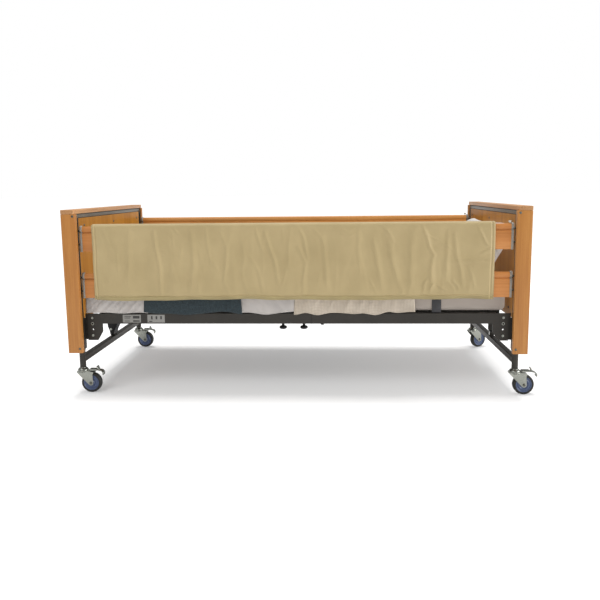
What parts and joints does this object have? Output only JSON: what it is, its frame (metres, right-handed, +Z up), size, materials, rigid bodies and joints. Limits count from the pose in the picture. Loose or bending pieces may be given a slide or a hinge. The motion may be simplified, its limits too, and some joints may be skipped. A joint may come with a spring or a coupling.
{
  "type": "adjustable hospital bed",
  "caption": "Profiling care bed with beech ends, full-length wooden side rails, a padded rail cover, a jointed mattress platform and braked castors.",
  "frame": {"origin": "on the floor under the middle of the bed's overall box", "axes": "+Z up, +X towards the head end along the bed, +Y towards the far side"},
  "size_m": [2.27, 1.04, 0.912],
  "materials": {
    "beech_solid": "clear satin lacquer over straight beech grain",
    "beech_panel": "beech veneer on board, satin lacquer",
    "beech_board": "clear satin lacquer, steamed beech",
    "powder_coat": "warm dark grey powder coat, fine texture, satin",
    "zinc_plate": "bright zinc plating on pressed steel",
    "castor_wheel": "slate blue wheel body with a black tread",
    "castor_tread": "black moulded rubber tread",
    "motor_housing": "black moulded housing, fine spark texture",
    "drive_rod": "ground steel rod",
    "knob_plastic": "black moulded hand screw",
    "rail_cap_steel": "light grey lacquered steel",
    "catch_plastic": "light grey moulded plastic",
    "pad_cover": "khaki coated polyester over foam",
    "mattress_cover": "grey beige coated stretch cover over foam",
    "white_cotton": "plain white cotton",
    "teal_fleece": "dark teal woven fleece",
    "cream_waffle": "cream open waffle cotton",
    "pillow_cotton": "plain white cotton pillow case",
    "strap_webbing": "dark grey woven polyester webbing",
    "label_film": "pale printed film with plain bars only"
  },
  "bodies": {
    "head_legs": {"head_leg_frame": "powder_coat", "head_lift_rod": "drive_rod"},
    "bed": {"head_wood_frame": "beech_solid", "head_outer_panel": "beech_panel", "head_inner_panel": "beech_panel", "head_steel_frame": "powder_coat", "foot_wood_frame": "beech_solid", "foot_outer_panel": "beech_panel", "foot_inner_panel": "beech_panel", "foot_steel_frame": "powder_coat", "head_chassis": "powder_coat", "foot_chassis": "powder_coat", "seat_deck": "powder_coat", "head_lift_motor": "motor_housing", "foot_lift_rod": "drive_rod", "backrest_motor": "motor_housing", "knee_motor": "motor_housing", "mattress_seat": "mattress_cover"},
    "foot_legs": {"foot_leg_frame": "powder_coat", "foot_lift_motor": "motor_housing"},
    "backrest": {"backrest_frame": "powder_coat", "mattress_back": "mattress_cover", "waffle_blanket": "cream_waffle", "pillow": "pillow_cotton"},
    "thigh": {"thigh_frame": "powder_coat", "mattress_thigh": "mattress_cover", "white_blanket": "white_cotton"},
    "calf": {"calf_frame": "powder_coat", "mattress_calf": "mattress_cover", "teal_blanket": "teal_fleece", "foot_sheet": "white_cotton"},
    "back_drive_rod": {"backrest_rod": "drive_rod"},
    "knee_drive_rod": {"knee_rod": "drive_rod"},
    "near_rail": {"near_lower_board": "beech_board", "near_upper_board": "beech_board", "near_head_rail_fitting": "rail_cap_steel", "near_foot_rail_fitting": "rail_cap_steel", "bumper_pad": "pad_cover"},
    "far_rail": {"far_lower_board": "beech_board", "far_upper_board": "beech_board", "far_head_rail_fitting": "rail_cap_steel", "far_foot_rail_fitting": "rail_cap_steel"},
    "near_catch": {"near_rail_catch": "catch_plastic"},
    "far_catch": {"far_rail_catch": "catch_plastic"},
    "head_near_castor_swivelling": {"head_near_castor_fork": "zinc_plate"},
    "head_near_castor_turning": {"head_near_castor_wheel": "castor_wheel"},
    "head_near_castor_brake": {"head_near_castor_pedal": "zinc_plate"},
    "head_far_castor_swivelling": {"head_far_castor_fork": "zinc_plate"},
    "head_far_castor_turning": {"head_far_castor_wheel": "castor_wheel"},
    "head_far_castor_brake": {"head_far_castor_pedal": "zinc_plate"},
    "foot_near_castor_swivelling": {"foot_near_castor_fork": "zinc_plate"},
    "foot_near_castor_turning": {"foot_near_castor_wheel": "castor_wheel"},
    "foot_near_castor_brake": {"foot_near_castor_pedal": "zinc_plate"},
    "foot_far_castor_swivelling": {"foot_far_castor_fork": "zinc_plate"},
    "foot_far_castor_turning": {"foot_far_castor_wheel": "castor_wheel"},
    "foot_far_castor_brake": {"foot_far_castor_pedal": "zinc_plate"},
    "near_knob_1": {"near_clamp_knob_1": "knob_plastic"},
    "near_knob_2": {"near_clamp_knob_2": "knob_plastic"},
    "far_knob_1": {"far_clamp_knob_1": "knob_plastic"},
    "far_knob_2": {"far_clamp_knob_2": "knob_plastic"}
  },
  "joints": [
    {"name": "lift", "type": "slide", "parent": "head_legs", "child": "bed", "axis": [0, 0, 1], "range_m": [0, 0.4]},
    {"name": "foot_leg_slide", "type": "slide", "parent": "bed", "child": "foot_legs", "axis": [0, 0, 1], "range_m": [-0.4, 0]},
    {"name": "backrest_tilt", "type": "hinge", "parent": "bed", "child": "backrest", "pos_m": [0.155, 0, 0.396], "axis": [0, -1, 0], "range_deg": [0, 70]},
    {"name": "thigh_tilt", "type": "hinge", "parent": "bed", "child": "thigh", "pos_m": [-0.045, 0, 0.396], "axis": [0, 1, 0], "range_deg": [0, 30]},
    {"name": "calf_tilt", "type": "hinge", "parent": "thigh", "child": "calf", "pos_m": [-0.335, 0, 0.396], "axis": [0, 1, 0], "range_deg": [-42, 0]},
    {"name": "back_drive_push", "type": "slide", "parent": "bed", "child": "back_drive_rod", "axis": [1, 0, 0], "range_m": [0, 0.1262]},
    {"name": "knee_drive_push", "type": "slide", "parent": "bed", "child": "knee_drive_rod", "axis": [-1, 0, 0], "range_m": [0, 0.0569]},
    {"name": "head_near_castor_swivel", "type": "hinge", "parent": "head_legs", "child": "head_near_castor_swivelling", "pos_m": [1.029, -0.445, 0.11], "axis": [0, 0, 1], "continuous": true},
    {"name": "head_near_castor_spin", "type": "hinge", "parent": "head_near_castor_swivelling", "child": "head_near_castor_turning", "pos_m": [1.071, -0.445, 0.05], "axis": [0, 1, 0], "continuous": true},
    {"name": "head_near_castor_brake_press", "type": "hinge", "parent": "head_near_castor_swivelling", "child": "head_near_castor_brake", "pos_m": [1.071, -0.445, 0.1135], "axis": [0, 1, 0], "range_deg": [0, 12]},
    {"name": "head_far_castor_swivel", "type": "hinge", "parent": "head_legs", "child": "head_far_castor_swivelling", "pos_m": [1.029, 0.445, 0.11], "axis": [0, 0, 1], "continuous": true},
    {"name": "head_far_castor_spin", "type": "hinge", "parent": "head_far_castor_swivelling", "child": "head_far_castor_turning", "pos_m": [1.06706, 0.46275, 0.05], "axis": [-0.4226, 0.9063, 0], "continuous": true},
    {"name": "head_far_castor_brake_press", "type": "hinge", "parent": "head_far_castor_swivelling", "child": "head_far_castor_brake", "pos_m": [1.06706, 0.46275, 0.1135], "axis": [-0.4226, 0.9063, 0], "range_deg": [0, 12]},
    {"name": "foot_near_castor_swivel", "type": "hinge", "parent": "foot_legs", "child": "foot_near_castor_swivelling", "pos_m": [-1.099, -0.445, 0.11], "axis": [0, 0, 1], "continuous": true},
    {"name": "foot_near_castor_spin", "type": "hinge", "parent": "foot_near_castor_swivelling", "child": "foot_near_castor_turning", "pos_m": [-1.057, -0.445, 0.05], "axis": [0, 1, 0], "continuous": true},
    {"name": "foot_near_castor_brake_press", "type": "hinge", "parent": "foot_near_castor_swivelling", "child": "foot_near_castor_brake", "pos_m": [-1.057, -0.445, 0.1135], "axis": [0, 1, 0], "range_deg": [0, 12]},
    {"name": "foot_far_castor_swivel", "type": "hinge", "parent": "foot_legs", "child": "foot_far_castor_swivelling", "pos_m": [-1.099, 0.445, 0.11], "axis": [0, 0, 1], "continuous": true},
    {"name": "foot_far_castor_spin", "type": "hinge", "parent": "foot_far_castor_swivelling", "child": "foot_far_castor_turning", "pos_m": [-1.057, 0.445, 0.05], "axis": [0, 1, 0], "continuous": true},
    {"name": "foot_far_castor_brake_press", "type": "hinge", "parent": "foot_far_castor_swivelling", "child": "foot_far_castor_brake", "pos_m": [-1.057, 0.445, 0.1135], "axis": [0, 1, 0], "range_deg": [0, 12]},
    {"name": "near_rail_lower", "type": "slide", "parent": "bed", "child": "near_rail", "axis": [0, 0, 1], "range_m": [-0.25, 0]},
    {"name": "near_catch_press", "type": "slide", "parent": "near_rail", "child": "near_catch", "axis": [0, 0, -1], "range_m": [0, 0.0025], "stiffness_N_per_m": 600},
    {"name": "near_knob_1_turn", "type": "hinge", "parent": "bed", "child": "near_knob_1", "pos_m": [-0.092, -0.4375, 0.335], "axis": [0, 0, 1], "continuous": true},
    {"name": "near_knob_2_turn", "type": "hinge", "parent": "bed", "child": "near_knob_2", "pos_m": [0.01, -0.4375, 0.335], "axis": [0, 0, 1], "continuous": true},
    {"name": "far_rail_lower", "type": "slide", "parent": "bed", "child": "far_rail", "axis": [0, 0, 1], "range_m": [-0.25, 0]},
    {"name": "far_catch_press", "type": "slide", "parent": "far_rail", "child": "far_catch", "axis": [0, 0, -1], "range_m": [0, 0.0025], "stiffness_N_per_m": 600},
    {"name": "far_knob_1_turn", "type": "hinge", "parent": "bed", "child": "far_knob_1", "pos_m": [-0.092, 0.4375, 0.335], "axis": [0, 0, 1], "continuous": true},
    {"name": "far_knob_2_turn", "type": "hinge", "parent": "bed", "child": "far_knob_2", "pos_m": [0.01, 0.4375, 0.335], "axis": [0, 0, 1], "continuous": true}
  ],
  "couplings": [
    {"joint": "foot_leg_slide", "follows": "lift", "ratio": -1},
    {"joint": "calf_tilt", "follows": "thigh_tilt", "ratio": -1.4},
    {"joint": "back_drive_push", "follows": "backrest_tilt", "m_per_rad": 0.10313},
    {"joint": "knee_drive_push", "follows": "thigh_tilt", "m_per_rad": 0.10848}
  ]
}
